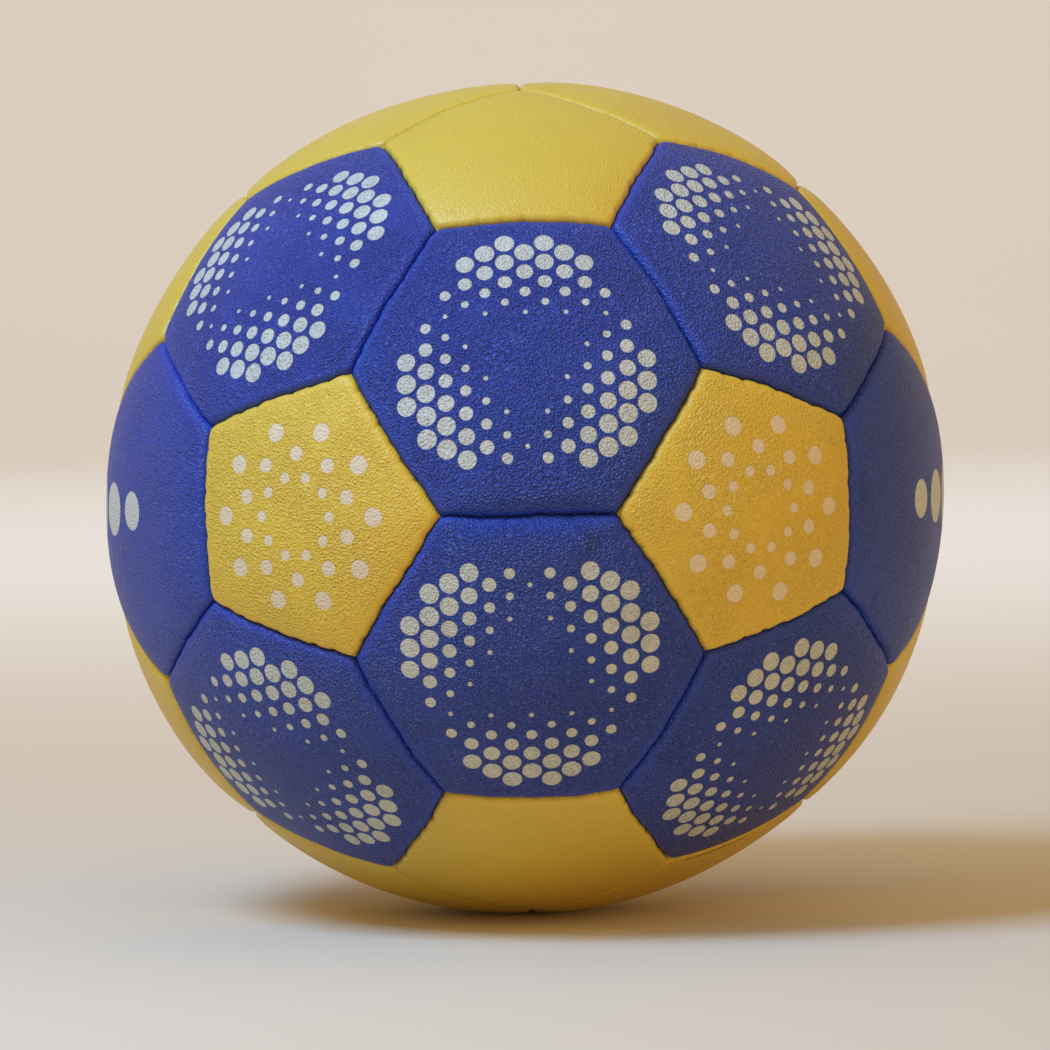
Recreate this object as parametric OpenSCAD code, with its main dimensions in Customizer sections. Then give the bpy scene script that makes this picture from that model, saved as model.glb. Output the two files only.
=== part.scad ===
// Stitched handball: 12 pentagon and 20 hexagon panels over an inflated bladder.
// The origin is the ball's centre, +Z is up and the front is -Y.

/* [Ball] */
// Girth round the crowns of the panels
ball_girth = 550; // [500:5:600]
// Gap between two neighbouring panels along a seam
seam_gap = 0.3; // [0.2:0.05:0.5]
// Radius of the rounded shoulder of a panel along its seams
shoulder_r = 2.4; // [1.8:0.1:2.8]

/* [Panel layers] */
// Thickness of the grained cover sheet
cover_t = 1.2; // [1:0.1:1.5]
// Thickness of the cover's turned-in rim, which is stitched
rim_t = 1.2; // [0.9:0.1:1.5]
// Thickness of the foam backing
foam_t = 1.6; // [1.4:0.1:2.2]
// Thickness of the cloth lining
lining_t = 1.2; // [0.8:0.1:1.6]
// Glue line between two layers
glue_t = 0.1; // [0.05:0.05:0.2]

/* [Stitching] */
// Distance from one stitch to the next
stitch_pitch = 4.5; // [3.5:0.1:5]
// Width of the flat waxed thread that lies along a seam
thread_w = 0.8; // [0.8:0.1:1]
// Thickness of that flat thread
thread_t = 0.6; // [0.4:0.1:0.8]
// Diameter of the twisted thread where it passes through the two rims
cross_thread_d = 0.6; // [0.4:0.1:0.7]
// Room round a thread, in its hole and beside the rim
thread_clear = 0.1; // [0.05:0.05:0.15]

/* [Bladder] */
// Thickness of the bladder's wall
bladder_t = 1; // [0.8:0.1:1.5]
// Room between the panels and the bladder
bladder_clear = 0.2; // [0.1:0.05:0.3]

/* [Valve] */
// Diameter of the needle's bore
needle_bore_d = 2.1; // [1.8:0.1:2.4]
// Diameter of the valve's nose, which shows in the cover
nose_d = 4.2; // [4:0.1:5]
// Depth of the nose below the cover's surface
nose_sink = 0.5; // [0.3:0.1:0.9]
// Diameter of the valve's neck under the cover
neck_d = 7.6; // [7:0.1:9]
// Diameter of the flange that seals the valve to the bladder
flange_d = 26; // [20:1:32]
// Thickness of that flange
flange_t = 1.2; // [0.8:0.1:2]
// Diameter of the valve's body inside the bladder
barrel_d = 9; // [8.5:0.1:12]
// Length of the valve's body below its flange
barrel_l = 15; // [14.5:0.5:20]
// Diameter of the soft plug in the valve's body
plug_d = 5; // [4:0.1:5.5]
// Length of that plug
plug_l = 12; // [8:0.5:12]
// Width of the plug's slit
slit_w = 1.6; // [1:0.1:2]
// Opening of the plug's slit
slit_gap = 0.1; // [0.05:0.05:0.2]
// Depth of the cone that guides the needle into the plug
guide_l = 1; // [0.6:0.1:2]
// Room round the valve in its panel and the bladder, and round its plug
valve_clear = 0.2; // [0.1:0.05:0.3]

/* [Hidden] */
phi = (1 + sqrt(5)) / 2;
overrun = 1;
round_fn = 96;
small_fn = 24;

ball_r = ball_girth / (2 * PI);
wall_t = cover_t + foam_t + lining_t + 2 * glue_t;
foam_r = ball_r - cover_t - glue_t;
lining_r = foam_r - foam_t - glue_t;
bladder_r = ball_r - wall_t - bladder_clear;

// The round shoulder meets the panel's side and its crown just off tangent
side_lean = 12;
proud_share = 0.025;
shoulder_proud = proud_share * shoulder_r;
shoulder_h = seam_gap / 2 + shoulder_r * cos(side_lean);
shoulder_rho = sqrt(pow(ball_r - shoulder_r + shoulder_proud, 2) - pow(shoulder_h, 2));

rim_h = seam_gap / 2 + rim_t;
thread_h = rim_h + thread_clear;
layer_h = thread_h + thread_t + thread_clear;
stitch_rho = ball_r - (cover_t + wall_t) / 2;

nose_r = ball_r - nose_sink;
neck_r = foam_r;
flange_r = bladder_r - bladder_t - glue_t;
flange_low = flange_r - flange_t;
barrel_low = flange_low - barrel_l;
plug_room_d = plug_d + 2 * valve_clear;
plug_low = barrel_low + (barrel_l - plug_l) / 2;
plug_room_low = plug_low - valve_clear;
plug_room_l = plug_l + 2 * valve_clear;

// Centres of the panels, as seen from the ball's centre
PENTAGONS = [
    ["pentagon_front_left", [-1, -phi, 0]],
    ["pentagon_front_right", [1, -phi, 0]],
    ["pentagon_back_left", [-1, phi, 0]],
    ["pentagon_back_right", [1, phi, 0]],
    ["pentagon_top_front", [0, -1, phi]],
    ["pentagon_top_back", [0, 1, phi]],
    ["pentagon_bottom_front", [0, -1, -phi]],
    ["pentagon_bottom_back", [0, 1, -phi]],
    ["pentagon_left_upper", [-phi, 0, 1]],
    ["pentagon_left_lower", [-phi, 0, -1]],
    ["pentagon_right_upper", [phi, 0, 1]],
    ["pentagon_right_lower", [phi, 0, -1]],
];
BLUE_HEXAGONS = [
    ["hexagon_front_upper", [0, -phi, 1 / phi]],
    ["hexagon_front_lower", [0, -phi, -1 / phi]],
    ["hexagon_back_upper", [0, phi, 1 / phi]],
    ["hexagon_back_lower", [0, phi, -1 / phi]],
    ["hexagon_left_front", [-phi, -1 / phi, 0]],
    ["hexagon_left_back", [-phi, 1 / phi, 0]],
    ["hexagon_right_front", [phi, -1 / phi, 0]],
    ["hexagon_right_back", [phi, 1 / phi, 0]],
    ["hexagon_front_upper_left", [-1, -1, 1]],
    ["hexagon_front_upper_right", [1, -1, 1]],
    ["hexagon_front_lower_left", [-1, -1, -1]],
    ["hexagon_front_lower_right", [1, -1, -1]],
    ["hexagon_back_upper_left", [-1, 1, 1]],
    ["hexagon_back_upper_right", [1, 1, 1]],
    ["hexagon_back_lower_left", [-1, 1, -1]],
    ["hexagon_back_lower_right", [1, 1, -1]],
];
YELLOW_HEXAGONS = [
    ["hexagon_top_left", [-1 / phi, 0, phi]],
    ["hexagon_top_right", [1 / phi, 0, phi]],
    ["hexagon_bottom_left", [-1 / phi, 0, -phi]],
    ["hexagon_bottom_right", [1 / phi, 0, -phi]],
];
HEXAGONS = concat(BLUE_HEXAGONS, YELLOW_HEXAGONS);
VALVE_PANEL = "pentagon_top_back";

INNER_NODES = [
    "foam_pentagons",
    "foam_hexagons",
    "lining_pentagons",
    "lining_hexagons",
    "seam_threads",
    "bladder",
    "valve_body",
    "valve_plug",
];

function unit(v) = v / norm(v);
function centre(panel) = unit(panel[1]);
function angle_between(a, b) = acos(unit(a) * unit(b));
function tangent(c, toward) = unit(toward - (toward * c) * c);
// Angle of an arc of the given length at the stitches' radius
function turn_of(length) = length / stitch_rho * 180 / PI;

// Angles from a panel's centre to the middle of its sides
hexagon_tilt = angle_between(centre(BLUE_HEXAGONS[0]), centre(BLUE_HEXAGONS[1])) / 2;
panel_angle = angle_between(centre(PENTAGONS[0]), centre(BLUE_HEXAGONS[0]));
pentagon_tilt = panel_angle - hexagon_tilt;
near_angle = (panel_angle + 2 * hexagon_tilt) / 2;
next_angle = 3 * hexagon_tilt;

// Stitches lie evenly about the middle of a side, as many as its corners leave room for
pentagon_half_corner = 54;
corner_room = layer_h / tan(pentagon_half_corner) + thread_w;
half_side_turn = atan(sin(hexagon_tilt) * tan(30));
stitch_reach = floor((half_side_turn - turn_of(corner_room)) / turn_of(stitch_pitch));

function pentagon_beside(c) =
    [for (p = PENTAGONS) if (angle_between(c, centre(p)) < near_angle) centre(p)][0];
function hexagon_beside(c) =
    [for (h = HEXAGONS) if (angle_between(c, centre(h)) < near_angle) centre(h)][0];

// Every seam once, as the directions of the two panels that meet there
MIXED_SEAMS = [
    for (h = HEXAGONS)
        for (p = PENTAGONS)
            if (angle_between(centre(h), centre(p)) < near_angle)
                [centre(h), centre(p)]
];
HEXAGON_SEAMS = [
    for (i = [0 : len(HEXAGONS) - 1])
        for (j = [i + 1 : 1 : len(HEXAGONS) - 1])
            if (angle_between(centre(HEXAGONS[i]), centre(HEXAGONS[j])) < next_angle)
                [centre(HEXAGONS[i]), centre(HEXAGONS[j])]
];

// Turns +Z to the direction c, with +X towards another panel
module on_panel(c, toward) {
    x = tangent(c, toward);
    y = cross(c, x);
    multmatrix([
        [x.x, y.x, c.x, 0],
        [x.y, y.y, c.y, 0],
        [x.z, y.z, c.z, 0],
        [0, 0, 0, 1],
    ]) children();
}

// From a panel's frame to one of its seams: +X to the seam's middle, +Z into the panel
module on_seam(tilt, turn) {
    rotate([0, 0, turn]) rotate([0, tilt - 90, 0]) children();
}

// A ball whose poles lie a quarter turn away from the panel it is used on
module ball(r) {
    rotate([90, 0, 0]) sphere(r, $fn = round_fn);
}

module shell(outer_r, thickness) {
    difference() {
        ball(outer_r);
        ball(outer_r - thickness);
    }
}

module stitch_holes() {
    for (k = [-stitch_reach : stitch_reach])
        rotate([0, 0, k * turn_of(stitch_pitch)])
            translate([stitch_rho, 0, 0])
                cylinder(d = cross_thread_d + 2 * thread_clear, h = rim_h + overrun, $fn = small_fn);
}

// Section of the space on one side of a seam, with the rounded shoulder
module shoulder_section() {
    difference() {
        union() {
            square([shoulder_rho, ball_r]);
            translate([0, shoulder_h]) square([ball_r + overrun, ball_r]);
            translate([shoulder_rho, shoulder_h]) circle(shoulder_r, $fn = round_fn);
        }
        translate([0, seam_gap / 2 - ball_r]) square([ball_r + overrun, ball_r]);
    }
}

// Pyramid from the ball's centre, a set distance inside the seams
module wedge(sides, tilt, inset) {
    intersection_for(i = [0 : sides - 1])
        on_seam(tilt, i * 360 / sides)
            translate([-ball_r, -ball_r, inset])
                cube([2 * ball_r, 2 * ball_r, ball_r]);
}

module cover(sides, tilt) {
    difference() {
        intersection() {
            ball(ball_r);
            intersection_for(i = [0 : sides - 1])
                on_seam(tilt, i * 360 / sides)
                    rotate([0, 0, 180])
                        rotate_extrude($fn = round_fn) shoulder_section();
        }
        ball(ball_r - wall_t);
        intersection() {
            ball(ball_r - cover_t);
            wedge(sides, tilt, rim_h);
        }
        for (i = [0 : sides - 1])
            on_seam(tilt, i * 360 / sides) stitch_holes();
    }
}

module layer(sides, tilt, outer_r, thickness) {
    intersection() {
        shell(outer_r, thickness);
        wedge(sides, tilt, layer_h);
    }
}

module valve_hole(d) {
    cylinder(d = d + 2 * valve_clear, h = ball_r + overrun, $fn = small_fn);
}

module pentagon_panel(panel) {
    c = centre(panel);
    color("gold")
        on_panel(c, hexagon_beside(c))
            difference() {
                cover(5, pentagon_tilt);
                if (panel[0] == VALVE_PANEL) valve_hole(nose_d);
            }
}

module hexagon_panel(panel, colour) {
    c = centre(panel);
    color(colour)
        on_panel(c, pentagon_beside(c)) cover(6, hexagon_tilt);
}

module pentagon_layers(outer_r, thickness) {
    for (panel = PENTAGONS)
        on_panel(centre(panel), hexagon_beside(centre(panel)))
            difference() {
                layer(5, pentagon_tilt, outer_r, thickness);
                if (panel[0] == VALVE_PANEL) valve_hole(neck_d);
            }
}

module hexagon_layers(outer_r, thickness) {
    for (panel = HEXAGONS)
        on_panel(centre(panel), pentagon_beside(centre(panel)))
            layer(6, hexagon_tilt, outer_r, thickness);
}

module foam_pentagons() {
    color("ivory") pentagon_layers(foam_r, foam_t);
}

module foam_hexagons() {
    color("ivory") hexagon_layers(foam_r, foam_t);
}

module lining_pentagons() {
    color("gainsboro") pentagon_layers(lining_r, lining_t);
}

module lining_hexagons() {
    color("gainsboro") hexagon_layers(lining_r, lining_t);
}

// One seam's thread: a run along each rim, joined through the stitch holes
module seam_thread() {
    run_turn = 2 * turn_of(stitch_reach * stitch_pitch + thread_w);
    for (side = [0, 1])
        mirror([0, 0, side])
            rotate([0, 0, -run_turn / 2])
                rotate_extrude(angle = run_turn, $fn = 4 * round_fn)
                    translate([stitch_rho - thread_w / 2, thread_h]) square([thread_w, thread_t]);
    for (k = [-stitch_reach : stitch_reach])
        rotate([0, 0, k * turn_of(stitch_pitch)])
            translate([stitch_rho, 0, 0])
                cylinder(d = cross_thread_d, h = 2 * thread_h + thread_t, center = true, $fn = small_fn);
}

module seam_threads() {
    color("white")
        for (seam = concat(MIXED_SEAMS, HEXAGON_SEAMS))
            on_panel(seam[0], seam[1]) on_seam(hexagon_tilt, 0) seam_thread();
}

module on_valve() {
    c = [for (panel = PENTAGONS) if (panel[0] == VALVE_PANEL) centre(panel)][0];
    on_panel(c, hexagon_beside(c)) children();
}

module bladder() {
    color("dimgray")
        on_valve()
            difference() {
                shell(bladder_r, bladder_t);
                valve_hole(neck_d);
            }
}

module valve_body() {
    color("darkslategray")
        on_valve()
            difference() {
                union() {
                    translate([0, 0, flange_low])
                        cylinder(d = nose_d, h = nose_r - flange_low, $fn = small_fn);
                    translate([0, 0, flange_low])
                        cylinder(d = neck_d, h = neck_r - flange_low, $fn = small_fn);
                    intersection() {
                        shell(flange_r, flange_t);
                        cylinder(d = flange_d, h = ball_r, $fn = round_fn);
                    }
                    translate([0, 0, barrel_low])
                        cylinder(d = barrel_d, h = barrel_l + flange_t / 2, $fn = round_fn);
                }
                translate([0, 0, barrel_low - overrun])
                    cylinder(d = needle_bore_d, h = ball_r, $fn = small_fn);
                translate([0, 0, plug_room_low])
                    cylinder(d = plug_room_d, h = plug_room_l, $fn = small_fn);
            }
}

module valve_plug() {
    color("dimgray")
        on_valve()
            difference() {
                translate([0, 0, plug_low]) cylinder(d = plug_d, h = plug_l, $fn = small_fn);
                translate([0, 0, plug_low + plug_l - guide_l])
                    cylinder(d1 = slit_gap, d2 = needle_bore_d, h = guide_l, $fn = small_fn);
                translate([-slit_w / 2, -slit_gap / 2, plug_low - overrun])
                    cube([slit_w, slit_gap, plug_l + 2 * overrun]);
            }
}

for (panel = PENTAGONS)
    pentagon_panel(panel);
for (panel = BLUE_HEXAGONS)
    hexagon_panel(panel, "royalblue");
for (panel = YELLOW_HEXAGONS)
    hexagon_panel(panel, "gold");
foam_pentagons();
foam_hexagons();
lining_pentagons();
lining_hexagons();
seam_threads();
bladder();
valve_body();
valve_plug();
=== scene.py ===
import math

import bpy
import numpy as np
from mathutils import Matrix, Vector


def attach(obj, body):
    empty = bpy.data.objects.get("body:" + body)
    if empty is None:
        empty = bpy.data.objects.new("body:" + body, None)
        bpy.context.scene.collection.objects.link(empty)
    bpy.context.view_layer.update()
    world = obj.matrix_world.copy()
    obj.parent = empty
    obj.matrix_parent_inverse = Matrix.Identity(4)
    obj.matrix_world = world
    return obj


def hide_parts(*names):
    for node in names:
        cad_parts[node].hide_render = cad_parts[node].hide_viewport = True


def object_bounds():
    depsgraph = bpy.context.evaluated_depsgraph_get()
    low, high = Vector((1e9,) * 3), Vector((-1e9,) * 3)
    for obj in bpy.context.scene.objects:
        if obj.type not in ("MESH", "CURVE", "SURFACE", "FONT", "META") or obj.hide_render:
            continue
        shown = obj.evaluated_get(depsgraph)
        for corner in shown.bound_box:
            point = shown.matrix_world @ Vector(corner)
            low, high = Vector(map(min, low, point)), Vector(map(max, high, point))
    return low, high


# Looks of a stitched handball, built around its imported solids.
# Lengths are in millimetres until a mesh is made, and angles are in radians.

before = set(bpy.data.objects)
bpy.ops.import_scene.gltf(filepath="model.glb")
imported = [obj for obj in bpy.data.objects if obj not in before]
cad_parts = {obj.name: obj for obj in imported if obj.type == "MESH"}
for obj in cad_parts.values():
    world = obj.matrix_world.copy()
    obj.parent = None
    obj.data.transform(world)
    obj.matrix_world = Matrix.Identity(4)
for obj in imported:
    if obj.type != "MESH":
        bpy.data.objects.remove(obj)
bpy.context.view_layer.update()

MM = 0.001
PHI = (1 + math.sqrt(5)) / 2
SEED = 7


def distances(node):
    """Distance of each of a node's points from the ball's centre."""
    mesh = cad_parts[node].data
    points = np.empty(len(mesh.vertices) * 3, np.float32)
    mesh.vertices.foreach_get("co", points)
    return np.linalg.norm(points.reshape(-1, 3), axis=1) / MM


BALL_R = float(distances("hexagon_front_upper").max())
WALL_T = BALL_R - float(distances("hexagon_front_upper").min())
FOAM_R = float(distances("foam_hexagons").max())

# Cover panels
GLUE_T = 0.1
UNDERSIDE_R = FOAM_R + GLUE_T / 2
RIM_FOOT_R = BALL_R - WALL_T
HALF_GAP = 0.03
SHOULDER_R = {"yellow": 1.2, "blue": 1.5}
RIM_T = 1.25
CORNER_BLEND = 2.4
PILLOW_DROP = 0.5
PILLOW_RISE_SHARE = 0.6
PILLOW_REACH = 3.4
LEVEL_REACH = 12.0
VALVE_HOLE_R = 2.3
VALVE_LIP_R = 0.3
VALVE_LIP_LEANS = np.radians((0, 30, 60))
SHARP_ANGLE = math.radians(55)

# Stitches: each pulls a narrow nick and a wide tuck
STITCH_PITCH = 4.5
STITCHES = 7
STITCH_STRAY = 0.3
PULL_LEAST = 0.15
PULL_SPREAD = 1.4
NICK_W = 0.42
NICK_IN = {"yellow": 0.08, "blue": 0.03}
NICK_IN_REACH = 0.9
NICK_DOWN = 0.1
NICK_DOWN_REACH = 1.3
TUCK_W = 1.15
TUCK_DOWN = 0.035
TUCK_REACH = 2.4

# Seam lines: scallops between the stitches, and waves of a length and a height
SCALLOP_MIXED = 0.16
SCALLOP_ALIKE = 0.08
SCALLOP_ROUNDNESS = 1.3
SEAM_WAVES = ((1.7, 0.02), (2.6, 0.03), (3.7, 0.035), (9.0, 0.07), (17.0, 0.1), (31.0, 0.14))
CORNER_REACH = 3.0

# The deep seam across the middle of the front: its panels' rolls, their slopes down to it and their swells
MIDDLE_SHOULDER_R = {"hexagon_front_upper": 1.6, "hexagon_front_lower": 0.6}
MIDDLE_SLOPE_DOWN = {"hexagon_front_upper": 0.3, "hexagon_front_lower": 1.2}
MIDDLE_SLOPE_W = 4.6
MIDDLE_LIFT = {"hexagon_front_upper": 0.5, "hexagon_front_lower": 0.9}
MIDDLE_LIFT_AT = 4.5
MIDDLE_LIFT_END = 16.0
MIDDLE_FADE = 7.0

# Shape of the whole ball
SHORT_AXIS = (-0.42, 0.0, 0.91)
FLATTENING = 0.85
SWELL = 0.35
DENTS = 0.2
DENT_WAVES = 14
DENT_SPAN = (35.0, 75.0)
LEVEL_STRAY = 0.12

# Places of the mesh's rings and columns, in millimetres or as shares of the way
STITCH_STEPS = (-1.8, -1.2, -0.75, -0.45, -0.2, 0, 0.2, 0.45, 0.75, 1.2, 1.8)
CORNER_STEPS = (0.5, 1.1, 1.8)
CROWN_RINGS = 18
CROWN_END = 5.0
EDGE_SHARES = (0.8, 0.61, 0.44, 0.3, 0.18, 0.08)
SHOULDER_RINGS = 10
WALL_SHARES = (0.2, 0.6, 1)
UNDERSIDE_RINGS = 5
COARSE = 3

PENTAGONS = {
    "front_left": (-1, -PHI, 0),
    "front_right": (1, -PHI, 0),
    "back_left": (-1, PHI, 0),
    "back_right": (1, PHI, 0),
    "top_front": (0, -1, PHI),
    "top_back": (0, 1, PHI),
    "bottom_front": (0, -1, -PHI),
    "bottom_back": (0, 1, -PHI),
    "left_upper": (-PHI, 0, 1),
    "left_lower": (-PHI, 0, -1),
    "right_upper": (PHI, 0, 1),
    "right_lower": (PHI, 0, -1),
}
SIDE_HEXAGONS = {
    "left_front": (-PHI, -1 / PHI, 0),
    "left_back": (-PHI, 1 / PHI, 0),
    "right_front": (PHI, -1 / PHI, 0),
    "right_back": (PHI, 1 / PHI, 0),
}
PRINTED_HEXAGONS = {
    "front_upper": (0, -PHI, 1 / PHI),
    "front_lower": (0, -PHI, -1 / PHI),
    "back_upper": (0, PHI, 1 / PHI),
    "back_lower": (0, PHI, -1 / PHI),
    "front_upper_left": (-1, -1, 1),
    "front_upper_right": (1, -1, 1),
    "front_lower_left": (-1, -1, -1),
    "front_lower_right": (1, -1, -1),
    "back_upper_left": (-1, 1, 1),
    "back_upper_right": (1, 1, 1),
    "back_lower_left": (-1, 1, -1),
    "back_lower_right": (1, 1, -1),
}
YELLOW_HEXAGONS = {
    "top_left": (-1 / PHI, 0, PHI),
    "top_right": (1 / PHI, 0, PHI),
    "bottom_left": (-1 / PHI, 0, -PHI),
    "bottom_right": (1 / PHI, 0, -PHI),
}
PRINTED_PENTAGONS = ("front_left", "front_right", "back_left", "back_right")
VALVE_PENTAGON = "top_back"
TURN_DIGITS = 6


def unit(v):
    return np.asarray(v, float) / np.linalg.norm(v)


def angle_between(a, b):
    return math.acos(float(np.clip(unit(a) @ unit(b), -1, 1)))


def smooth(low, high, x):
    """0 below low and 1 above high, with a soft step between."""
    q = np.clip((x - low) / (high - low), 0, 1)
    return q * q * (3 - 2 * q)


# Angles from a panel's centre: to its sides, and one that takes in its neighbours' centres and no others
FRONT_HEXAGON = PRINTED_HEXAGONS["front_upper"]
HEXAGON_TILT = angle_between(FRONT_HEXAGON, PRINTED_HEXAGONS["front_lower"]) / 2
PENTAGON_TILT = angle_between(FRONT_HEXAGON, PENTAGONS["front_left"]) - HEXAGON_TILT
NEXT_ANGLE = 3 * HEXAGON_TILT
HALF_SIDE = BALL_R * math.atan(math.sin(HEXAGON_TILT) * math.tan(math.radians(30)))


class Panel:
    """One cover panel: its node, its direction from the ball's centre, its colour and its print."""

    def __init__(self, node, towards, colour, look, draw):
        self.node = node
        self.sides = 5 if node.startswith("pentagon") else 6
        self.tilt = PENTAGON_TILT if self.sides == 5 else HEXAGON_TILT
        self.centre = unit(towards)
        self.colour = colour
        self.look = look
        self.grain_turn = draw.uniform(0, 2 * math.pi)
        self.level = draw.uniform(-LEVEL_STRAY, LEVEL_STRAY)

    def find_sides(self, panels):
        """Turns the panel's x axis to a panel of the other kind and lists its neighbours from there."""
        beside = [p for p in panels if p is not self and angle_between(p.centre, self.centre) < NEXT_ANGLE]
        other_kind = next(p for p in beside if p.sides != self.sides)
        self.x = unit(other_kind.centre - (other_kind.centre @ self.centre) * self.centre)
        self.y = np.cross(self.centre, self.x)
        self.beside = sorted(beside, key=self.turn_to)

    def turn_to(self, panel):
        """Turn from the x axis to a neighbour, rounded so that the first one gets 0."""
        turn = math.atan2(panel.centre @ self.y, panel.centre @ self.x) % (2 * math.pi)
        return round(turn, TURN_DIGITS) % round(2 * math.pi, TURN_DIGITS)

    def direction(self, polar, turn):
        """Unit vectors at an angle from the panel's centre, turned about it."""
        flat = np.cos(turn)[..., None] * self.x + np.sin(turn)[..., None] * self.y
        return np.cos(polar)[..., None] * self.centre + np.sin(polar)[..., None] * flat

    def inward(self, side):
        """Normal of a side's seam plane, towards the panel."""
        turn = np.array(side * 2 * math.pi / self.sides)
        middle = self.direction(np.array(self.tilt), turn)
        return unit(self.centre - (self.centre @ middle) * middle)


class Seam:
    """The stitched line between two panels. Places are measured from its middle."""

    def __init__(self, first, second, draw):
        self.first = first
        steps = np.arange(STITCHES) - (STITCHES - 1) / 2
        self.stitches = STITCH_PITCH * steps + draw.uniform(-STITCH_STRAY, STITCH_STRAY, STITCHES)
        self.pulls = PULL_LEAST + PULL_SPREAD * draw.uniform(0, 1, STITCHES) ** 2
        self.phases = draw.uniform(0, 2 * math.pi, len(SEAM_WAVES))
        mixed = first.colour != second.colour
        bulges_out = first.colour == "yellow" if mixed else draw.uniform() < 0.5
        self.scallop = (SCALLOP_MIXED if mixed else SCALLOP_ALIKE) * (-1 if bulges_out else 1)
        self.is_middle = first.node in MIDDLE_SHOULDER_R and second.node in MIDDLE_SHOULDER_R

    def places(self):
        """Where the mesh has a column, from corner to corner."""
        stitched = (self.stitches[:, None] + np.array(STITCH_STEPS)).ravel()
        corner = HALF_SIDE - np.array((0,) + CORNER_STEPS)
        return np.concatenate([-corner, stitched, corner[::-1]])

    def shift(self, place):
        """How far the line strays from its plane, into the first panel."""
        waves = sum(
            height * np.sin(2 * math.pi * place / length + phase)
            for (length, height), phase in zip(SEAM_WAVES, self.phases)
        )
        count = np.interp(place, self.stitches, np.arange(STITCHES))
        count += (place - np.clip(place, self.stitches[0], self.stitches[-1])) / STITCH_PITCH
        bow = np.abs(np.sin(math.pi * count)) ** SCALLOP_ROUNDNESS - 0.5
        return (waves + self.scallop * bow) * smooth(0, CORNER_REACH, HALF_SIDE - np.abs(place))

    def pull(self, place, width):
        """Strength of the nearest stitch's pull, for a dimple of the given width."""
        near = np.exp(-(((place[:, None] - self.stitches) / width) ** 2))
        return (near * self.pulls).sum(axis=1)


def make_panels(draw):
    panels = []
    for place, towards in PENTAGONS.items():
        look = "rings" if place in PRINTED_PENTAGONS else "plain"
        panels.append(Panel("pentagon_" + place, towards, "yellow", look, draw))
    for group, colour, look in (
        (PRINTED_HEXAGONS, "blue", "fans"),
        (SIDE_HEXAGONS, "blue", "discs"),
        (YELLOW_HEXAGONS, "yellow", "plain"),
    ):
        for place, towards in group.items():
            panels.append(Panel("hexagon_" + place, towards, colour, look, draw))
    for panel in panels:
        panel.find_sides(panels)
    return panels


def make_seams(panels, draw):
    """Every seam once, found by either order of its two panels."""
    seams = {}
    for i, first in enumerate(panels):
        for second in panels[i + 1 :]:
            if second in first.beside:
                seam = Seam(first, second, draw)
                seams[first.node, second.node] = seam
                seams[second.node, first.node] = seam
    return seams


class Relief:
    """Slow unevenness of the whole ball: flatter along one axis, fuller across it, with shallow dents."""

    def __init__(self, draw):
        turns = draw.normal(size=(DENT_WAVES, 3))
        spans = draw.uniform(*DENT_SPAN, DENT_WAVES)
        lengths = np.linalg.norm(turns, axis=1)
        self.waves = turns / lengths[:, None] * (2 * math.pi * BALL_R / spans)[:, None]
        self.phases = draw.uniform(0, 2 * math.pi, DENT_WAVES)

    def height(self, towards):
        dents = np.sin(towards @ self.waves.T + self.phases).sum(axis=-1)
        dents *= DENTS / math.sqrt(DENT_WAVES / 2)
        return dents + SWELL + FLATTENING * (0.5 - 1.5 * (towards @ unit(SHORT_AXIS)) ** 2)


class Columns:
    """The mesh's columns round a panel: where each lies, and what its seam does there."""

    def __init__(self, panel, seams):
        parts = []
        for side, neighbour in enumerate(panel.beside):
            seam = seams[panel.node, neighbour.node]
            sign = 1 if seam.first is panel else -1
            own = np.sort(sign * seam.places())[:-1]
            place = sign * own
            arc = own / BALL_R
            across = np.arctan2(np.sin(arc), np.cos(arc) * math.sin(panel.tilt))
            parts.append((
                across,
                across + side * 2 * math.pi / panel.sides,
                sign * seam.shift(place),
                seam.pull(place, NICK_W),
                seam.pull(place, TUCK_W),
                seam.is_middle * smooth(0, MIDDLE_FADE, HALF_SIDE - np.abs(place)),
            ))
        self.across, self.turn, self.shift, self.nick, self.tuck, self.middle = (
            np.concatenate(part) for part in zip(*parts)
        )
        self.count = len(self.turn)


def polar_at(panel, across, offset, radius):
    """Angle from the panel's centre to a point that lies offset inside the side's seam plane."""
    rise = math.sin(panel.tilt)
    run = math.cos(panel.tilt) * np.cos(across)
    return np.arccos(offset / radius / np.hypot(rise, run)) - np.arctan2(run, rise)


def seam_distance(panel, towards):
    """Distance from the nearest seams, blended where two of them meet at a corner."""
    near = 0
    for side in range(panel.sides):
        away = BALL_R * np.arcsin(np.clip(towards @ panel.inward(side), -1, 1))
        near = near + np.exp(-CORNER_BLEND * away)
    return -np.log(near) / CORNER_BLEND


def shoulder_drop(away, shoulder_r):
    """Depth of the round shoulder at a distance from the seam."""
    past = np.clip(shoulder_r + HALF_GAP - away, 0, shoulder_r)
    return shoulder_r - np.sqrt(shoulder_r**2 - past**2)


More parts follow.
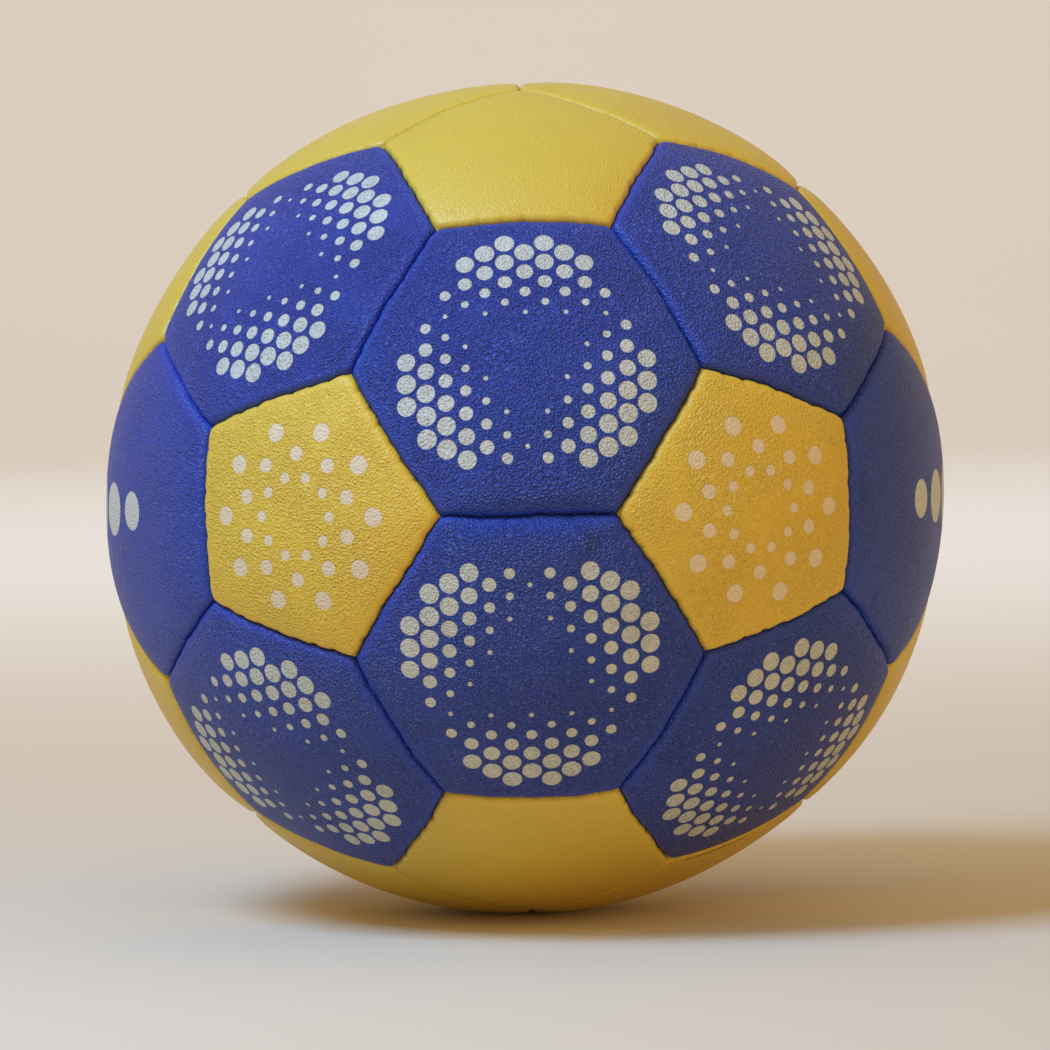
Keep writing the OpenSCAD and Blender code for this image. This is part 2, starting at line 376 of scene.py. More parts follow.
class CoverRings:
    """Rings of points from a panel's crown over its shoulder and wall to its underside."""

    def __init__(self, panel, columns, relief):
        self.panel = panel
        self.columns = columns
        self.relief = relief
        self.holed = panel.node == "pentagon_" + VALVE_PENTAGON
        usual_r = SHOULDER_R[panel.colour]
        middle_r = MIDDLE_SHOULDER_R.get(panel.node, usual_r)
        self.shoulder_r = usual_r + (middle_r - usual_r) * columns.middle
        self.slope_down = MIDDLE_SLOPE_DOWN.get(panel.node, 0) * columns.middle
        self.lift = MIDDLE_LIFT.get(panel.node, 0) * columns.middle
        self.towards = []
        self.radius = []
        self.away = []
        self.map_polar = []
        self.coarse = []
        self.add_crown()
        self.add_shoulder()
        self.add_wall()
        self.outer_count = len(self.radius)
        self.add_underside()

    def add(self, towards, radius, away, map_polar, coarse):
        self.towards.append(towards)
        self.radius.append(radius)
        self.away.append(away)
        self.map_polar.append(map_polar)
        self.coarse.append(coarse)

    def at(self, offset, radius=BALL_R):
        """Angle from the panel's centre to a place that lies offset inside the seams."""
        return polar_at(self.panel, self.columns.across, offset, radius)

    def drop(self, away, rise):
        """Depth of the outer face below the ball's surface, from its roll, its stitches and the deep seam."""
        pillow = PILLOW_DROP + PILLOW_RISE_SHARE * np.maximum(rise, 0)
        drop = shoulder_drop(away, self.shoulder_r) + pillow * np.exp(-np.maximum(away, 0) / PILLOW_REACH)
        drop += NICK_DOWN * self.columns.nick * np.exp(-((away / NICK_DOWN_REACH) ** 2))
        drop += TUCK_DOWN * self.columns.tuck * np.exp(-np.maximum(away, 0) / TUCK_REACH)
        drop += self.slope_down * np.clip(1 - away / MIDDLE_SLOPE_W, 0, 1) ** 2
        swell = smooth(0, MIDDLE_LIFT_AT, away) * smooth(MIDDLE_LIFT_END, MIDDLE_LIFT_AT, away)
        return drop - self.lift * swell

    def add_outer(self, polar, map_polar, coarse, sink=0.0):
        """Adds a ring of the outer face, moved along it by the seam's stray and the nicks."""
        panel, columns = self.panel, self.columns
        away = seam_distance(panel, panel.direction(polar, columns.turn))
        fade = np.exp(-((np.maximum(away, 0) / CORNER_REACH) ** 2))
        nick = NICK_IN[panel.colour] * columns.nick * np.exp(-((away / NICK_IN_REACH) ** 2))
        arc = np.cos(columns.across) * BALL_R
        towards = panel.direction(polar - (columns.shift * fade + nick) / arc, columns.turn)
        rise = self.relief.height(towards)
        level = panel.level * smooth(0, LEVEL_REACH, away)
        self.add(towards, BALL_R + rise + level - self.drop(away, rise) - sink, away, map_polar, coarse)

    def add_crown(self):
        """The lip of the valve's hole, where there is one, and the face from there to the crown's end."""
        start = VALVE_HOLE_R / BALL_R if self.holed else 0
        if self.holed:
            for lean in VALVE_LIP_LEANS:
                polar = np.full(self.columns.count, start + VALVE_LIP_R * (1 - math.cos(lean)) / BALL_R)
                self.add_outer(polar, polar, True, VALVE_LIP_R * (1 - math.sin(lean)))
            start += VALVE_LIP_R / BALL_R
        end = self.at(CROWN_END)
        for share in np.linspace(0, 1, CROWN_RINGS + 1)[0 if self.holed else 1 :]:
            polar = start + (end - start) * share
            self.add_outer(polar, polar, True)

    def add_shoulder(self):
        """The face from the crown's end to the shoulder, and the shoulder's quarter round."""
        shoulder = HALF_GAP + self.shoulder_r
        for share in EDGE_SHARES:
            polar = self.at(shoulder + (CROWN_END - shoulder) * share)
            self.add_outer(polar, polar, False)
        for lean in np.linspace(0, math.pi / 2, SHOULDER_RINGS):
            offset = HALF_GAP + self.shoulder_r * (1 - math.sin(lean))
            map_offset = HALF_GAP + self.shoulder_r * (1 - lean)
            self.add_outer(self.at(offset), self.at(map_offset), False)

    def add_wall(self):
        """The wall down to the rim's foot. On the bake's map it takes half of its height."""
        columns = self.columns
        edge_r = self.radius[-1]
        closed = self.at(HALF_GAP) - columns.shift / np.cos(columns.across) / BALL_R
        towards = self.panel.direction(closed, columns.turn)
        map_offset = HALF_GAP + self.shoulder_r * (1 - math.pi / 2)
        for share in WALL_SHARES:
            radius = edge_r + (RIM_FOOT_R - edge_r) * share
            map_offset = map_offset - WALL_T / 2 / len(WALL_SHARES)
            self.add(towards, radius, -(BALL_R - self.shoulder_r - radius), self.at(map_offset), False)

    def add_hidden(self, polar, radius):
        """Adds a ring of the rim's foot or the underside."""
        towards = self.panel.direction(polar, self.columns.turn)
        self.add(towards, np.full_like(polar, radius), np.full_like(polar, -WALL_T), polar, True)

    def add_underside(self):
        """The rim's foot, its inner side and the sheet's underside."""
        inside = HALF_GAP + RIM_T
        self.add_hidden(self.at(inside, RIM_FOOT_R), RIM_FOOT_R)
        start = self.at(inside, UNDERSIDE_R)
        self.add_hidden(start, UNDERSIDE_R)
        end = VALVE_HOLE_R / BALL_R if self.holed else 0
        for share in np.linspace(1, 0, UNDERSIDE_RINGS + 1)[1 : None if self.holed else -1]:
            self.add_hidden(end + (start - end) * share, UNDERSIDE_R)


def strip_faces(first, second):
    """Faces between two rings. Where only one is coarse, each face has several fine points along one side."""
    faces = []
    few, many = sorted((first, second), key=len)
    step = len(many) // len(few)
    for j in range(len(few)):
        fine = [many[(j * step + k) % len(many)] for k in range(step + 1)]
        rough = [few[j], few[(j + 1) % len(few)]]
        if few is first:
            faces.append([rough[0], *fine, rough[1]])
        else:
            faces.append([fine[0], *rough, *fine[:0:-1]])
    return faces


class Topology:
    """Faces of a cover: the same for all panels with as many sides and rings."""

    made = {}

    def __init__(self, count, coarse, outer_count, holed):
        self.used = []
        self.faces = []
        self.hidden = []
        start = 0
        ids = []
        for ring_coarse in coarse:
            used = np.arange(0, count, COARSE if ring_coarse else 1)
            self.used.append(used)
            ids.append(list(range(start, start + len(used))))
            start += len(used)
        self.points = start
        for k in range(len(ids) - 1):
            self.add(strip_faces(ids[k], ids[k + 1]), k >= outer_count - 1)
        if holed:
            self.add(strip_faces(ids[-1], ids[0]), True)
        else:
            top, bottom = start, start + 1
            self.points += 2
            fan = [[top, a, b] for a, b in zip(ids[0], ids[0][1:] + ids[0][:1])]
            self.add(fan, False)
            fan = [[a, bottom, b] for a, b in zip(ids[-1], ids[-1][1:] + ids[-1][:1])]
            self.add(fan, True)
        self.corners = np.concatenate([np.array(face) for face in self.faces])
        sizes = np.array([len(face) for face in self.faces])
        self.starts = np.concatenate([[0], np.cumsum(sizes)[:-1]])
        self.hidden_corners = np.repeat(np.array(self.hidden), sizes)

    def add(self, faces, hidden):
        self.faces += faces
        self.hidden += [hidden] * len(faces)

    @classmethod
    def of(cls, *shape):
        key = repr(shape)
        if key not in cls.made:
            cls.made[key] = cls(*shape)
        return cls.made[key]


def pick(topology, values, top, bottom):
    """One value per point, from one array per ring and the two middle points."""
    chosen = [np.asarray(v)[used] for v, used in zip(values, topology.used)]
    if topology.points > sum(len(used) for used in topology.used):
        chosen += [np.asarray([top]), np.asarray([bottom])]
    return np.concatenate(chosen)


# Coordinates: distance between the panels' places in the grain, and sizes in the bake's map
PANEL_SPREAD = 150.0
MAP_R = 0.49
HIDDEN_MAP_R = 0.045
HIDDEN_MAP_AT = 1.3 * HIDDEN_MAP_R


def print_places(panel, towards):
    """Where the print's own x and y lie: on the panel, or for the side panels along the equator."""
    if panel.look == "discs":
        out = math.copysign(1, panel.centre[0])
        along = np.arctan2(-out * towards[:, 1], out * towards[:, 0])
        return BALL_R * np.stack([along, np.arcsin(towards[:, 2])], axis=1)
    polar = np.arccos(np.clip(towards @ panel.centre, -1, 1))
    turn = np.arctan2(towards @ panel.y, towards @ panel.x)
    return BALL_R * (polar * np.stack([np.cos(turn), np.sin(turn)])).T


def grain_places(panel, index, towards, radius):
    """The grain's own places, turned on each panel and set apart from the other panels'."""
    polar = np.arccos(np.clip(towards @ panel.centre, -1, 1))
    turn = np.arctan2(towards @ panel.y, towards @ panel.x) + panel.grain_turn
    x = BALL_R * polar * np.cos(turn)
    y = BALL_R * polar * np.sin(turn)
    return np.stack([x + index * PANEL_SPREAD, y, BALL_R - radius], axis=1)


def map_places(topology, columns, rings):
    """The bake's map: the outer face fills it, and the hidden faces share one of its corners."""
    polar = pick(topology, rings.map_polar, 0, 0)
    turn = pick(topology, [columns.turn] * len(rings.radius), 0, 0)
    flat = (polar * np.stack([np.cos(turn), np.sin(turn)])).T[topology.corners]
    flat /= polar.max()
    outer = 0.5 + MAP_R * flat
    inner = HIDDEN_MAP_AT + HIDDEN_MAP_R * flat
    return np.where(topology.hidden_corners[:, None], inner, outer)


def fill_mesh(mesh, points, topology):
    mesh.vertices.add(len(points))
    mesh.vertices.foreach_set("co", points.astype(np.float32).ravel())
    mesh.loops.add(len(topology.corners))
    mesh.loops.foreach_set("vertex_index", topology.corners.astype(np.int32))
    mesh.polygons.add(len(topology.starts))
    mesh.polygons.foreach_set("loop_start", topology.starts.astype(np.int32))
    mesh.update(calc_edges=True)
    mesh.shade_smooth()
    mesh.set_sharp_from_angle(angle=SHARP_ANGLE)


def add_attribute(mesh, name, values):
    attribute = mesh.attributes.new(name, "FLOAT_VECTOR", "POINT")
    attribute.data.foreach_set("vector", values.astype(np.float32).ravel())


def make_cover(index, panel, seams, relief, material):
    """Builds one cover, which stands for its node."""
    columns = Columns(panel, seams)
    rings = CoverRings(panel, columns, relief)
    topology = Topology.of(columns.count, rings.coarse, rings.outer_count, rings.holed)
    towards = pick(topology, rings.towards, panel.centre, panel.centre)
    crown_r = BALL_R + panel.level + float(relief.height(panel.centre))
    radius = pick(topology, rings.radius, crown_r, UNDERSIDE_R)
    away = pick(topology, rings.away, 0, 0)
    if not rings.holed:
        away[-2] = away[0]  # the crown's middle point
    mesh = bpy.data.meshes.new("cover_" + panel.node)
    fill_mesh(mesh, towards * radius[:, None] * MM, topology)
    print_xy = print_places(panel, towards)
    add_attribute(mesh, "print_mm", np.column_stack([print_xy, away]))
    add_attribute(mesh, "grain_mm", grain_places(panel, index, towards, radius))
    layer = mesh.uv_layers.new(name="OFBake")
    layer.data.foreach_set("uv", map_places(topology, columns, rings).astype(np.float32).ravel())
    mesh.materials.append(material)
    cover = bpy.data.objects.new("cover_" + panel.node, mesh)
    bpy.context.scene.collection.objects.link(cover)
    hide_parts(panel.node)
    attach(cover, "root")
    "cover_" + panel.colour


class Num:
    """A number in a material. A sum written with it becomes Math nodes."""

    def __init__(self, socket):
        self.socket = socket

    def to(self, operation, *others):
        nodes = self.socket.id_data.nodes
        node = nodes.new("ShaderNodeMath")
        node.operation = operation
        for socket, value in zip(node.inputs, (self, *others)):
            put(socket, value)
        return Num(node.outputs[0])

    def __add__(self, other):
        return self.to("ADD", other)

    def __sub__(self, other):
        return self.to("SUBTRACT", other)

    def __mul__(self, other):
        return self.to("MULTIPLY", other)

    def __truediv__(self, other):
        return self.to("DIVIDE", other)

    def step(self, low, high):
        """0 below low and 1 above high, with a soft step between. High may be the lower one."""
        node = self.socket.id_data.nodes.new("ShaderNodeMapRange")
        node.interpolation_type = "SMOOTHSTEP"
        for name, value in zip(("Value", "From Min", "From Max"), (self, low, high)):
            put(node.inputs[name], value)
        return Num(node.outputs["Result"])


def put(socket, value):
    """Sets a socket to a constant, or links it to a value that nodes work out."""
    if isinstance(value, Num):
        socket.id_data.links.new(value.socket, socket)
    elif isinstance(value, bpy.types.NodeSocket):
        socket.id_data.links.new(value, socket)
    else:
        socket.default_value = value


def largest(first, *others):
    for other in others:
        first = first.to("MAXIMUM", other)
    return first


def smallest(first, *others):
    for other in others:
        first = first.to("MINIMUM", other)
    return first


def length(x, y):
    return (x * x + y * y).to("SQRT")


def srgb(red, green, blue):
    """A colour from its eight-bit screen values."""
    def linear(value):
        share = value / 255
        return share / 12.92 if share <= 0.04045 else ((share + 0.055) / 1.055) ** 2.4

    return (linear(red), linear(green), linear(blue), 1)


class Paint:
    """A new material with one Principled shader, and the nodes that feed it."""

    def __init__(self, name):
        self.material = bpy.data.materials.new(name)
        self.material.use_nodes = True
        self.nodes = self.material.node_tree.nodes
        self.shader = self.nodes["Principled BSDF"]

    def node(self, kind, **inputs):
        """A new node. Its inputs are given by their names in lower case."""
        node = self.nodes.new(kind)
        for name, value in inputs.items():
            put(node.inputs[name.title()], value)
        return node

    def attribute(self, name):
        node = self.nodes.new("ShaderNodeAttribute")
        node.attribute_name = name
        return node.outputs["Vector"]

    def place(self):
        """The object's own coordinates, in metres."""
        return self.nodes.new("ShaderNodeTexCoord").outputs["Object"]

    def split(self, vector):
        return [Num(socket) for socket in self.node("ShaderNodeSeparateXYZ", vector=vector).outputs]

    def scaled(self, vector, factor):
        node = self.nodes.new("ShaderNodeVectorMath")
        node.operation = "SCALE"
        put(node.inputs[0], vector)
        put(node.inputs["Scale"], factor)
        return node.outputs["Vector"]

    def noise(self, at, scale, detail=2.0, roughness=0.5):
        """Soft noise from 0 to 1, with scale waves to a unit."""
        node = self.node("ShaderNodeTexNoise", vector=at, scale=scale, detail=detail, roughness=roughness)
        return Num(node.outputs["Fac"])

    def cells(self, at, scale):
        """Distance from the nearest of scattered points."""
        return Num(self.node("ShaderNodeTexVoronoi", vector=at, scale=scale).outputs["Distance"])

    def mix(self, factor, first, second, blend="MIX"):
        node = self.nodes.new("ShaderNodeMix")
        node.data_type = "RGBA"
        node.blend_type = blend
        colours = [s for s in node.inputs if s.type == "RGBA"]
        put(node.inputs["Factor"], factor)
        put(colours[0], first)
        put(colours[1], second)
        return next(s for s in node.outputs if s.type == "RGBA")

    def bump(self, height, depth):
        """Relief from a height of 0 to 1 that stands for a depth in millimetres."""
        node = self.node("ShaderNodeBump", distance=depth * MM, height=height)
        put(self.shader.inputs["Normal"], node.outputs["Normal"])

    def finish(self, colour, roughness):
        put(self.shader.inputs["Base Color"], colour)
        put(self.shader.inputs["Roughness"], roughness)
        return self.material


# Colours of the covers, plain for the yellow ones without print, whose paler yellow is a painted sheen: skin,
# slow changes, painted shade for the grain valleys and painted highlights for the peaks
COVER_COLOURS = {
    "blue": {
        "base": srgb(31, 66, 178),
        "tint": srgb(38, 60, 172),
        "shaded_valley": srgb(14, 28, 108),
        "peak_highlight": srgb(88, 118, 212),
    },
    "yellow": {
        "base": srgb(222, 194, 69),
        "tint": srgb(220, 187, 65),
        "shaded_valley": srgb(186, 150, 36),
        "peak_highlight": srgb(240, 222, 124),
    },
    # A paler, greyer copy of the same yellow leather: a painted sheen on the panels without print
    "plain": {
        "base": srgb(215, 191, 75),
        "tint": srgb(212, 185, 73),
        "shaded_valley": srgb(186, 150, 36),
        "peak_highlight": srgb(240, 222, 124),
    },
}
TINT_PER_MM = 0.05
TINT_SPAN = (0.35, 0.7)
TINT_SHARE = 0.55
GLOSS = 0.34
GLOSS_SPREAD = 0.14

# Grain: its depth in millimetres, and how much painted shade its valleys show and how much painted highlight
# its peaks show
GRAIN_DEPTH = {"fans": 1.2, "discs": 0.8, "rings": 0.54, "plain": 0.2}
VALLEY_SHADE_SHARE = {"fans": 0.12, "discs": 0.1, "rings": 0.04, "plain": 0.02}
SHADED_VALLEY_SPAN = (0.47, 0.27)
PEAK_HIGHLIGHT_SHARE = {"fans": 0.5, "discs": 0.25, "rings": 0.45, "plain": 0.1}
PEAK_HIGHLIGHT_SPAN = (0.54, 0.72)
WRINKLES_PER_MM = 2.1
CRUMBS_PER_MM = 3.7
CRUMB_SHARE = 0.4
FINE_PER_MM = 4.0
FINE_ROUGHNESS = 0.6
WORN_PER_MM = 0.07
WORN_SPAN = (0.3, 0.6)
WORN_LEAST = 0.65
SEAM_FADE = (0.4, 3.0)
SEAM_LEAST = 0.3

# Shade in the seams
SEAM_SHADE = 0.6
SEAM_SHADE_SPAN = (0.1, -0.7)
SEAM_SHADE_COLOUR = srgb(64, 44, 40)

# Ink: its colour on each cover, its ragged edge, and how it fills the grain
INK_COLOURS = {"blue": srgb(206, 218, 220), "yellow": srgb(224, 215, 196)}
INK_STRAY = 0.28
INK_EDGE = 0.07
INK_COVER = 0.95
INK_GAPS = 0.15
INK_FILL = 0.45

# Printed dots on the hexagons, in fans that grow towards the pentagons
DOT_PITCH = 4.6
DOT_ROW = DOT_PITCH * math.sqrt(3) / 2
FAN_START = 2.0
FAN_FULL = 24.0
FAN_END = 27.5
FAN_SIDE = 21.0
LARGEST_DOT = 0.95
LEAST_DOT = 0.18
DOT_FILL = 0.46

# Rings of dots on the pentagons: their radius and the dots' diameter
DOT_RINGS = ((8.0, 2.2), (12.5, 3.0), (17.5, 3.8))
DOTS_PER_RING = 10

# The row of discs on either side of the ball: place from the seam and diameter
DISCS = ((8.5, 13.5), (23.0, 11.0), (35.5, 8.0))


def fans(x, y):
    """Distance outside the nearest dot of the fans, negative inside it."""
    row = (y / DOT_ROW).to("ROUND")
    shift = row.to("FLOORED_MODULO", 2.0) * (DOT_PITCH / 2)
    dot_x = ((x - shift) / DOT_PITCH).to("ROUND") * DOT_PITCH + shift
    dot_y = row * DOT_ROW
    half_x = dot_x * 0.5
    slant = dot_y * (math.sqrt(3) / 2)
    reaches = (dot_x, slant - half_x, slant * -1 - half_x)
    out = largest(*reaches)
    back = smallest(*reaches) * -1
    size = out.step(FAN_START, FAN_FULL) * LARGEST_DOT
    kept = out.to("LESS_THAN", FAN_END) * back.to("LESS_THAN", FAN_SIDE) * size.to("GREATER_THAN", LEAST_DOT)
    radius = size * kept * (DOT_PITCH * DOT_FILL)
    return length(x - dot_x, y - dot_y) - radius


def rings_of_dots(x, y):
    """Distance outside the nearest dot of the rings, negative inside it."""
    turn = y.to("ARCTAN2", x)
    reach = length(x, y)
    sector = 2 * math.pi / DOTS_PER_RING
    found = None
    for k, (radius, diameter) in enumerate(DOT_RINGS):
        start = sector / 2 * (k % 2)
        dot_turn = ((turn - start) / sector).to("ROUND") * sector + start
        off = turn - dot_turn
        dot = length(reach * off.to("COSINE") - radius, reach * off.to("SINE")) - diameter / 2
        found = dot if found is None else smallest(found, dot)
    return found


def row_of_discs(x, y):
    """Distance outside the nearest disc of the row, negative inside it."""
    from_seam = x.to("ABSOLUTE")
    return smallest(*(length(from_seam - place, y) - diameter / 2 for place, diameter in DISCS))


PRINTS = {"fans": fans, "rings": rings_of_dots, "discs": row_of_discs}


def grain_height(paint, at, away):
    """Height of the covers' wrinkled grain, which grows faint towards the seams and here and there."""
    wrinkles = paint.noise(at, WRINKLES_PER_MM, detail=0.0) - 0.5
    crumbs = paint.noise(at, CRUMBS_PER_MM, detail=0.0) - 0.5
    worn = paint.noise(at, WORN_PER_MM).step(*WORN_SPAN) * (1 - WORN_LEAST) + WORN_LEAST
    strength = (away.step(*SEAM_FADE) * (1 - SEAM_LEAST) + SEAM_LEAST) * worn
    return (wrinkles + crumbs * CRUMB_SHARE) * strength + 0.5


def cover_material(colour, look):
    """Pebble-grained sheet with its print: painted shade in the grain's valleys, painted highlights on its
    peaks and painted shade in the seams.
    """
    paint = Paint(f"cover_{colour}_{look}")
    colours = COVER_COLOURS["plain" if look == "plain" else colour]
    print_x, print_y, away = paint.split(paint.attribute("print_mm"))
    grain_at = paint.attribute("grain_mm")

    height = grain_height(paint, grain_at, away)
    fine = paint.noise(grain_at, FINE_PER_MM, roughness=FINE_ROUGHNESS)
    shaded_valley = height.step(*SHADED_VALLEY_SPAN)
    peak_highlight = height.step(*PEAK_HIGHLIGHT_SPAN)

    slow = paint.noise(grain_at, TINT_PER_MM, detail=3.0).step(*TINT_SPAN)
    skin = paint.mix(slow * TINT_SHARE, colours["base"], colours["tint"])
    # Painted shade: the grain's valleys get a darker colour; the ink thins in these valleys too
    skin = paint.mix(shaded_valley * VALLEY_SHADE_SHARE[look], skin, colours["shaded_valley"])
    # Painted highlight: the grain's peaks get a lighter colour that stands in for glints of the lamp
    skin = paint.mix(peak_highlight * PEAK_HIGHLIGHT_SHARE[look], skin, colours["peak_highlight"])
    if look in PRINTS:
        edge = PRINTS[look](print_x, print_y) + (fine - 0.5) * INK_STRAY
        ink = edge.step(INK_EDGE, -INK_EDGE)
        skin = paint.mix(ink * (shaded_valley * -INK_GAPS + INK_COVER), skin, INK_COLOURS[colour])
        height = height * (ink * -INK_FILL + 1.0)
    # Painted shade: a dark brown multiply on the walls deep in the seams' gaps
    shade = away.step(*SEAM_SHADE_SPAN) * SEAM_SHADE
    skin = paint.mix(shade, skin, SEAM_SHADE_COLOUR, "MULTIPLY")
    paint.bump(height, GRAIN_DEPTH[look])
    return paint.finish(skin, fine * GLOSS_SPREAD + GLOSS)


# Inner layers, in millimetres
FOAM_COLOURS = (srgb(214, 206, 186), srgb(236, 231, 216))
FOAM_ROUGHNESS = 0.85
PORES_PER_MM = 1.6
PORE_SPAN = (0.2, 0.6)
PORE_DEPTH = 0.12
LINING_COLOURS = (srgb(188, 187, 176), srgb(222, 221, 212))
LINING_ROUGHNESS = 0.9
WEAVE_PITCH = 0.7
WEAVE_DEPTH = 0.15
STAIN_COLOUR = srgb(206, 196, 170)
STAINS_PER_MM = 0.08
STAIN_SHARE = 0.3
THREAD_COLOURS = (srgb(196, 190, 172), srgb(234, 231, 220))
THREAD_ROUGHNESS = 0.5
PLIES_PER_MM = 2.4
PLY_DISTORTION = 3.0
PLY_DEPTH = 0.08
SPECK_SHARE = 0.6
SPECK_DETAIL = 4.0
SPECK_ROUGHNESS = 0.65
BLOOMS_PER_MM = 0.09
BLOOM_SPAN = (0.35, 0.75)
BLOOM_SHARE = 0.3
BLOOM_DULLNESS = 0.15


def foam_material():
    """Foam with open pores."""
    paint = Paint("foam")
    pores = paint.cells(paint.scaled(paint.place(), 1 / MM), PORES_PER_MM)
    colour = paint.mix(pores.step(*PORE_SPAN), *FOAM_COLOURS)
    paint.bump(pores, PORE_DEPTH)
    return paint.finish(colour, FOAM_ROUGHNESS)


def weave(paint, pitch):
    """Height of a plain weave, from threads that pass over each other by turns."""
    x, y, z = paint.split(paint.scaled(paint.place(), math.pi / (pitch * MM)))
    warp = (x + z).to("SINE")
    weft = (y - z).to("SINE")
    return (warp * weft) * 0.5 + 0.5


def lining_material():
    """Woven cloth with slow stains."""
    paint = Paint("lining")
    threads = weave(paint, WEAVE_PITCH)
    stain = paint.noise(paint.scaled(paint.place(), 1 / MM), STAINS_PER_MM)
    colour = paint.mix(threads, *LINING_COLOURS)
    colour = paint.mix(stain * STAIN_SHARE, colour, STAIN_COLOUR)
    paint.bump(threads, WEAVE_DEPTH)
    return paint.finish(colour, LINING_ROUGHNESS)


def thread_material():
    """Waxed thread, darker between its plies."""
    paint = Paint("thread")
    at = paint.scaled(paint.place(), 1 / MM)
    plies = paint.node("ShaderNodeTexWave", vector=at, scale=PLIES_PER_MM, distortion=PLY_DISTORTION)
    twist = Num(plies.outputs["Fac"])
    colour = paint.mix(twist, *THREAD_COLOURS)
    paint.bump(twist, PLY_DEPTH)
    return paint.finish(colour, THREAD_ROUGHNESS)


def rubber_material(name, light, dark, roughness, specks_per_mm, depth):
    """Moulded rubber: fine specks, and slow patches where it has bloomed."""
    paint = Paint(name)
    at = paint.scaled(paint.place(), 1 / MM)
    specks = paint.noise(at, specks_per_mm, SPECK_DETAIL, SPECK_ROUGHNESS)
    bloom = paint.noise(at, BLOOMS_PER_MM).step(*BLOOM_SPAN)
    colour = paint.mix(specks * SPECK_SHARE + bloom * BLOOM_SHARE, dark, light)
    paint.bump(specks, depth)
    return paint.finish(colour, bloom * BLOOM_DULLNESS + roughness)


INNER_MATERIALS = {
    "foam": foam_material(),
    "lining": lining_material(),
    "thread": thread_material(),
    "bladder": rubber_material(
        "bladder", srgb(66, 64, 62), srgb(34, 33, 33), roughness=0.42, specks_per_mm=1.2, depth=0.03
    ),
    "valve": rubber_material(
        "valve", srgb(54, 54, 56), srgb(24, 24, 26), roughness=0.5, specks_per_mm=3.0, depth=0.03
    ),
    "plug": rubber_material(
        "plug", srgb(74, 70, 66), srgb(40, 38, 36), roughness=0.6, specks_per_mm=3.0, depth=0.02
    ),
}
INNER_NODES = {
    "foam_pentagons": "foam",
    "foam_hexagons": "foam",
    "lining_pentagons": "lining",
    "lining_hexagons": "lining",
    "seam_threads": "thread",
    "bladder": "bladder",
    "valve_body": "valve",
    "valve_plug": "plug",
}


def dress_inner_nodes():
    for node, kind in INNER_NODES.items():
        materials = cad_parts[node].data.materials
        materials.clear()
        materials.append(INNER_MATERIALS[kind])


def dress_covers(draw):
    panels = make_panels(draw)
    seams = make_seams(panels, draw)
    relief = Relief(draw)
    materials = {}
    for index, panel in enumerate(panels):
        key = (panel.colour, panel.look)
        if key not in materials:
            materials[key] = cover_material(*key)
        make_cover(index, panel, seams, relief, materials[key])


# Stage, in metres
STAGE_W = 12.0
STAGE_FRONT = -4.0
STAGE_BACK = 3.0
STAGE_BEND = 1.5
STAGE_BEND_STEPS = 16
STAGE_TOP = 5.0
STAGE_MOTTLE_PER_M = 3.0
STAGE_PALE = (srgb(227, 220, 209), srgb(230, 223, 213))
STAGE_BOUNCE = srgb(226, 202, 168)
STAGE_ROUGHNESS = 0.9


def stage_material():
    """Pale to the camera and in reflections, and warmer to the light that it sends back."""
    paint = Paint("stage")
    pale = paint.mix(paint.noise(paint.place(), STAGE_MOTTLE_PER_M), *STAGE_PALE)
    rays = paint.nodes.new("ShaderNodeLightPath").outputs
    seen = Num(rays["Is Camera Ray"]) + Num(rays["Is Glossy Ray"]) + Num(rays["Is Transmission Ray"])
    return paint.finish(paint.mix(seen, STAGE_BOUNCE, pale), STAGE_ROUGHNESS)


def make_stage():
    """A pale floor that bends up into a backdrop."""
    floor_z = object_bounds()[0].z
    turns = np.linspace(0, math.pi / 2, STAGE_BEND_STEPS)
    profile = [(STAGE_FRONT, 0.0)]
    profile += [
        (STAGE_BACK + STAGE_BEND * math.sin(t), STAGE_BEND * (1 - math.cos(t)))
        for t in turns
    ]
    profile.append((STAGE_BACK + STAGE_BEND, STAGE_TOP))
    points = [(x, y, floor_z + z) for y, z in profile for x in (-STAGE_W / 2, STAGE_W / 2)]
    faces = [(2 * k, 2 * k + 1, 2 * k + 3, 2 * k + 2) for k in range(len(profile) - 1)]
    mesh = bpy.data.meshes.new("stage")
    mesh.from_pydata(points, [], faces)
    mesh.shade_smooth()
    stage = bpy.data.objects.new("stage", mesh)
    bpy.context.scene.collection.objects.link(stage)
    mesh.materials.append(stage_material())


# Light, in metres and watts
LAMPS = {
    "key": {"place": (-0.36, -0.33, 0.58), "size": 0.28, "power": 4.9, "colour": (0.43, 0.685, 1.0)},
    "fill": {"place": (2.4, -2.2, 0.24), "size": 0.8, "power": 18, "colour": (1.0, 0.54, 0.155)},
    "backdrop": {
        "place": (0, 1.2, 2.2),
        "size": 2.0,
        "power": 75,
        "colour": (0.56, 0.75, 1.0),
        "aim": (0, 4.2, 0.6),
    },
}
WORLD_COLOUR = (1.0, 0.71, 0.36, 1)
WORLD_STRENGTH = 0.55


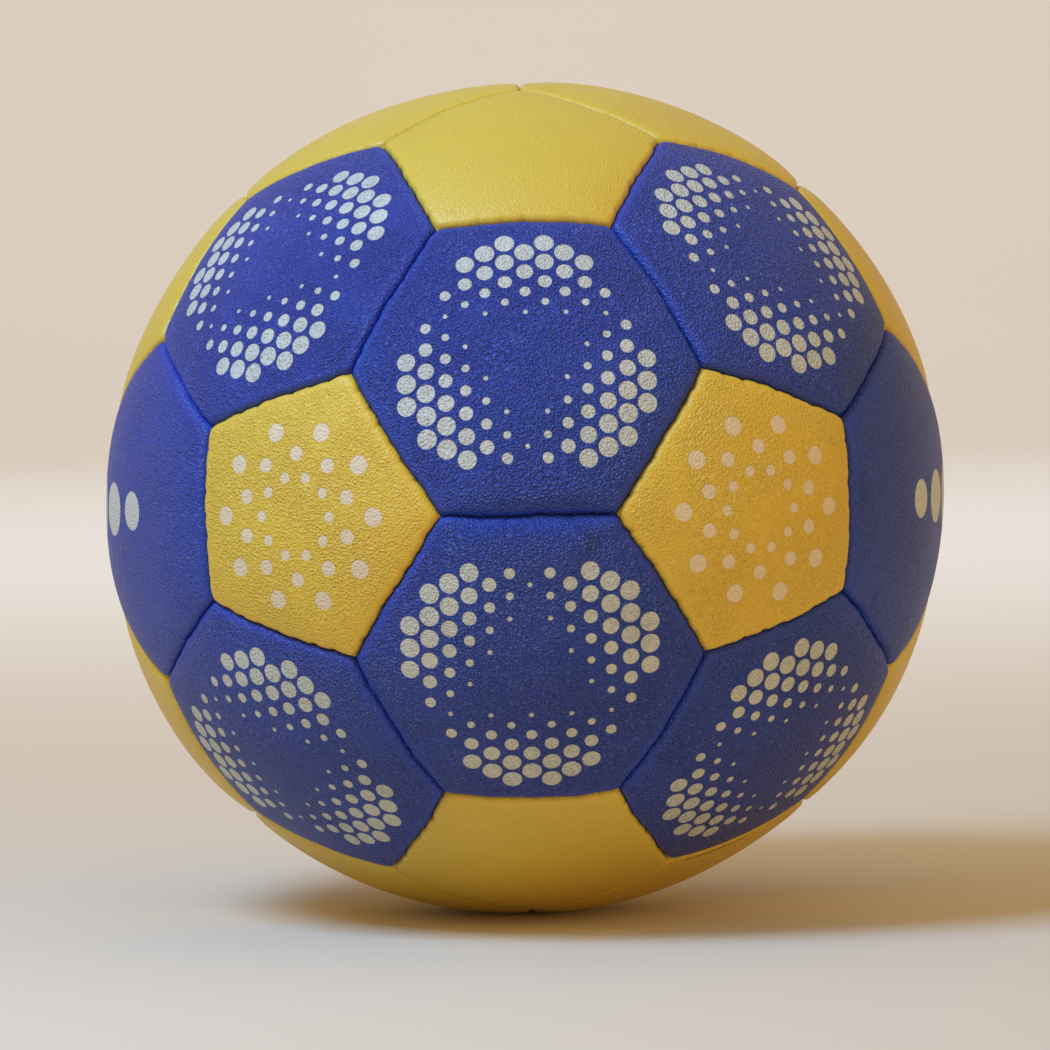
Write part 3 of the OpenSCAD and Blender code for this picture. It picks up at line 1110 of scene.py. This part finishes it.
def add_lamp(name, place, size, power, colour, aim=(0, 0, 0)):
    """A soft square lamp that faces the ball or another point."""
    lamp = bpy.data.lights.new(name, "AREA")
    lamp.size = size
    lamp.energy = power
    lamp.color = colour
    holder = bpy.data.objects.new(name, lamp)
    bpy.context.scene.collection.objects.link(holder)
    holder.location = place
    holder.rotation_mode = "QUATERNION"
    holder.rotation_quaternion = (Vector(aim) - Vector(place)).to_track_quat("-Z", "Y")


def make_light():
    for name, lamp in LAMPS.items():
        add_lamp(name, **lamp)
    world = bpy.data.worlds.new("world")
    bpy.context.scene.world = world
    world.use_nodes = True
    background = world.node_tree.nodes["Background"]
    background.inputs["Color"].default_value = WORLD_COLOUR
    background.inputs["Strength"].default_value = WORLD_STRENGTH


# Camera, fitted to the photograph
PHOTO_SIDE_PX = 1050
BALL_CENTRE_PX = (525.4, 498.0)
FOCAL_PX = 6241
CAMERA_RADII = 15
CAMERA_DISTANCE = CAMERA_RADII * BALL_R * MM
CAMERA_TURN = math.radians(-0.4)
CAMERA_RISE = math.radians(2.26)
CAMERA_ROLL = math.radians(-0.886)
SENSOR_MM = 36


def make_camera():
    camera = bpy.data.cameras.new("camera")
    camera.sensor_width = SENSOR_MM
    camera.lens = SENSOR_MM * FOCAL_PX / PHOTO_SIDE_PX
    holder = bpy.data.objects.new("camera", camera)
    bpy.context.scene.collection.objects.link(holder)
    middle = PHOTO_SIDE_PX / 2
    right = math.atan((BALL_CENTRE_PX[0] - middle) / FOCAL_PX)
    up = math.atan((middle - BALL_CENTRE_PX[1]) / FOCAL_PX)
    round_ball = Matrix.Rotation(CAMERA_TURN, 4, "Z") @ Matrix.Rotation(math.pi / 2 - CAMERA_RISE, 4, "X")
    back_off = Matrix.Translation((0, 0, CAMERA_DISTANCE))
    roll = Matrix.Rotation(CAMERA_ROLL, 4, "Z")
    look_aside = Matrix.Rotation(right, 4, "Y") @ Matrix.Rotation(-up, 4, "X")
    holder.matrix_world = round_ball @ roll @ back_off @ look_aside
    bpy.context.scene.camera = holder


def main():
    dress_covers(np.random.default_rng(SEED))
    dress_inner_nodes()
    make_stage()
    make_light()
    make_camera()
    bpy.context.scene.view_settings.view_transform = "Standard"


main()
